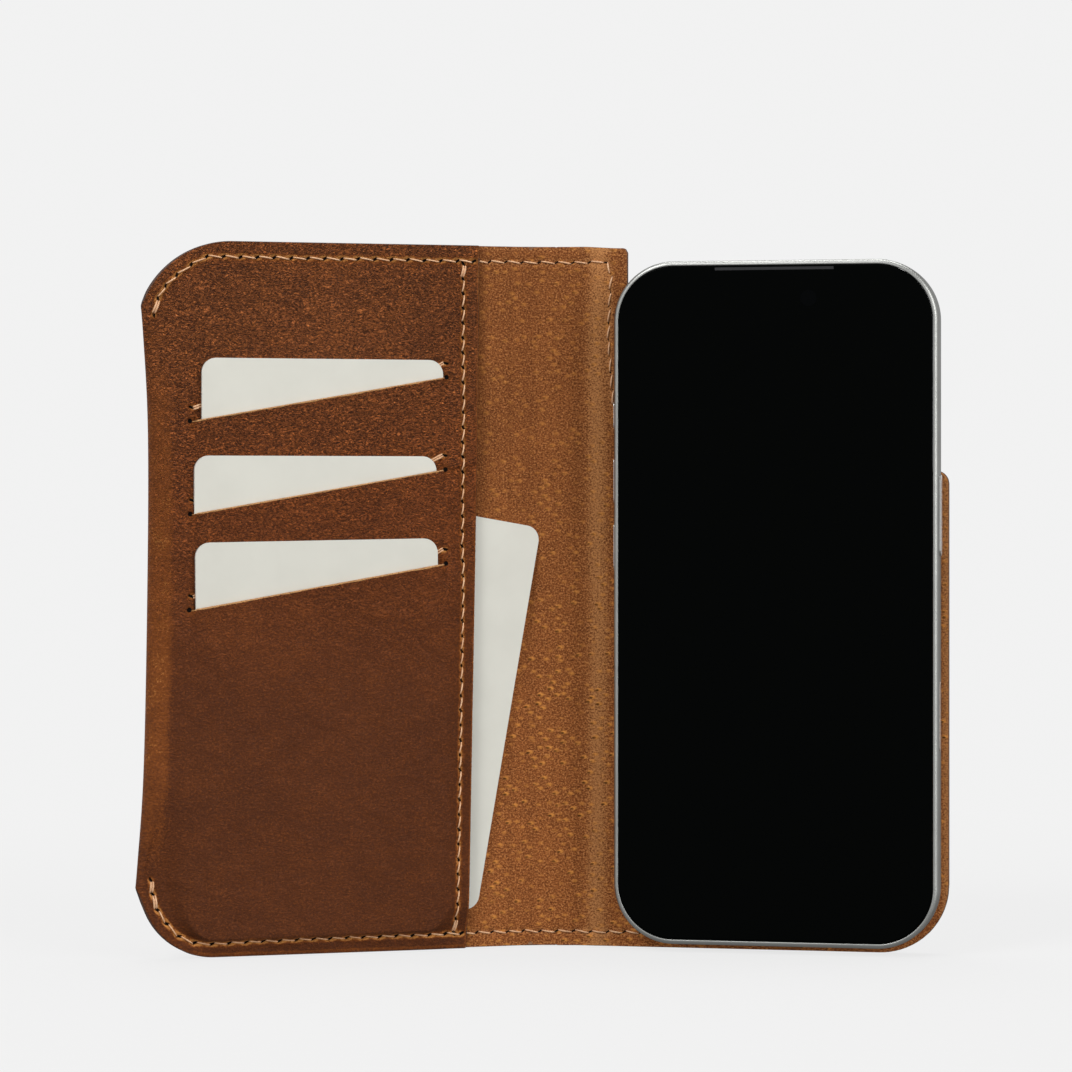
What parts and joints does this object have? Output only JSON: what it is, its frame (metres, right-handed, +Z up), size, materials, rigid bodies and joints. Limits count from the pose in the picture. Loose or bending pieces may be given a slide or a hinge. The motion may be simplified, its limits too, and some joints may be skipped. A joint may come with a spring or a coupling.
{
  "type": "phone wallet case",
  "caption": "Folding leather phone wallet case with slanted card slots, a side pocket, a spine strip and a magnetic back panel holding a phone.",
  "frame": {"origin": "middle of the bottom of the bounding box, on the surface that the open case stands on", "axes": "+Z up along the spine; X across the opened case, cover at -X and phone at +X; the inner side faces -Y"},
  "size_m": [0.1766, 0.0332, 0.1544],
  "materials": {
    "leather": "waxy pull-up cowhide, brown",
    "lining": "suede-like pigskin, tan brown",
    "board": "grey board, matte",
    "pocket_fabric": "thin dark satin",
    "thread": "waxed beige thread",
    "card_plastic": "blank off-white plastic, satin",
    "magnet": "nickel plated",
    "shield_steel": "thin steel",
    "phone_metal": "bead-blasted, silver",
    "camera_button": "glossy, silver",
    "screen_glass": "black glass, switched off",
    "back_glass": "frosted glass, pale silver",
    "phone_inside": "dark block",
    "dark_trim": "dark",
    "lens_glass": "dark lens glass",
    "flash": "translucent pale"
  },
  "bodies": {
    "back_panel": {"back_leather": "leather", "back_lining": "lining", "back_board": "board", "ring_shield": "shield_steel", "ring_magnet_01": "magnet", "ring_magnet_02": "magnet", "ring_magnet_03": "magnet", "ring_magnet_04": "magnet", "ring_magnet_05": "magnet", "ring_magnet_06": "magnet", "ring_magnet_07": "magnet", "ring_magnet_08": "magnet", "ring_magnet_09": "magnet", "ring_magnet_10": "magnet", "ring_magnet_11": "magnet", "ring_magnet_12": "magnet", "key_magnet": "magnet", "thread_back_top": "thread", "thread_back_bottom": "thread"},
    "spine": {"spine_leather": "leather", "spine_lining": "lining", "spine_board": "board", "thread_spine_top": "thread", "thread_spine_bottom": "thread"},
    "cover": {"cover_leather": "leather", "cover_lining": "lining", "cover_board": "board", "pocket_liner_1": "pocket_fabric", "pocket_liner_2": "pocket_fabric", "pocket_liner_3": "pocket_fabric", "thread_slit_1": "thread", "thread_slit_2": "thread", "thread_slit_3": "thread", "thread_cover_top": "thread", "thread_cover_bottom": "thread", "thread_panel_edge": "thread"},
    "card_1": {"card_1": "card_plastic"},
    "card_2": {"card_2": "card_plastic"},
    "card_3": {"card_3": "card_plastic"},
    "side_card": {"side_card": "card_plastic"},
    "phone": {"phone_frame": "phone_metal", "phone_front_glass": "screen_glass", "phone_back_glass": "back_glass", "phone_core": "phone_inside", "phone_earpiece": "dark_trim", "phone_front_camera": "dark_trim", "phone_camera_plateau": "phone_metal", "phone_lens_1": "lens_glass", "phone_lens_2": "lens_glass", "phone_flash": "flash"},
    "phone_action_button": {"phone_action_button": "phone_metal"},
    "phone_volume_up": {"phone_volume_up": "phone_metal"},
    "phone_volume_down": {"phone_volume_down": "phone_metal"},
    "phone_side_button": {"phone_side_button": "phone_metal"},
    "phone_camera_button": {"phone_camera_button": "camera_button"}
  },
  "joints": [
    {"name": "back_fold", "type": "hinge", "parent": "back_panel", "child": "spine", "pos_m": [0.0077, 0.0118, 0], "axis": [0, 0, 1], "range_deg": [-30, 78.1]},
    {"name": "cover_fold", "type": "hinge", "parent": "spine", "child": "cover", "pos_m": [-0.00266, 0.0118, 0], "axis": [0, 0, 1], "range_deg": [-35, 72.7]},
    {"name": "card_1_seat", "type": "slide", "parent": "cover", "child": "card_1", "axis": [-0.0011, -0.0004, -1], "range_m": [-0.07, 0]},
    {"name": "card_2_seat", "type": "slide", "parent": "cover", "child": "card_2", "axis": [-0.0045, 0.0101, -0.9999], "range_m": [-0.07, 0]},
    {"name": "card_3_seat", "type": "slide", "parent": "cover", "child": "card_3", "axis": [0.0072, 0.0258, -0.9996], "range_m": [-0.07, 0]},
    {"name": "side_card_tuck", "type": "slide", "parent": "cover", "child": "side_card", "axis": [-0.9403, -0.2929, 0.1731], "range_m": [0, 0.014]},
    {"name": "phone_dock", "type": "slide", "parent": "back_panel", "child": "phone", "axis": [0.2062, 0.9785, 0], "range_m": [-0.05, 0]},
    {"name": "phone_action_button_press", "type": "slide", "parent": "phone", "child": "phone_action_button", "axis": [0.9785, -0.2062, 0], "range_m": [0, 0.0003], "stiffness_N_per_m": 500},
    {"name": "phone_volume_up_press", "type": "slide", "parent": "phone", "child": "phone_volume_up", "axis": [0.9785, -0.2062, 0], "range_m": [0, 0.0003], "stiffness_N_per_m": 500},
    {"name": "phone_volume_down_press", "type": "slide", "parent": "phone", "child": "phone_volume_down", "axis": [0.9785, -0.2062, 0], "range_m": [0, 0.0003], "stiffness_N_per_m": 500},
    {"name": "phone_side_button_press", "type": "slide", "parent": "phone", "child": "phone_side_button", "axis": [-0.9785, 0.2062, 0], "range_m": [0, 0.0003], "stiffness_N_per_m": 500},
    {"name": "phone_camera_button_press", "type": "slide", "parent": "phone", "child": "phone_camera_button", "axis": [-0.9785, 0.2062, 0], "range_m": [0, 0.0002], "stiffness_N_per_m": 500}
  ]
}
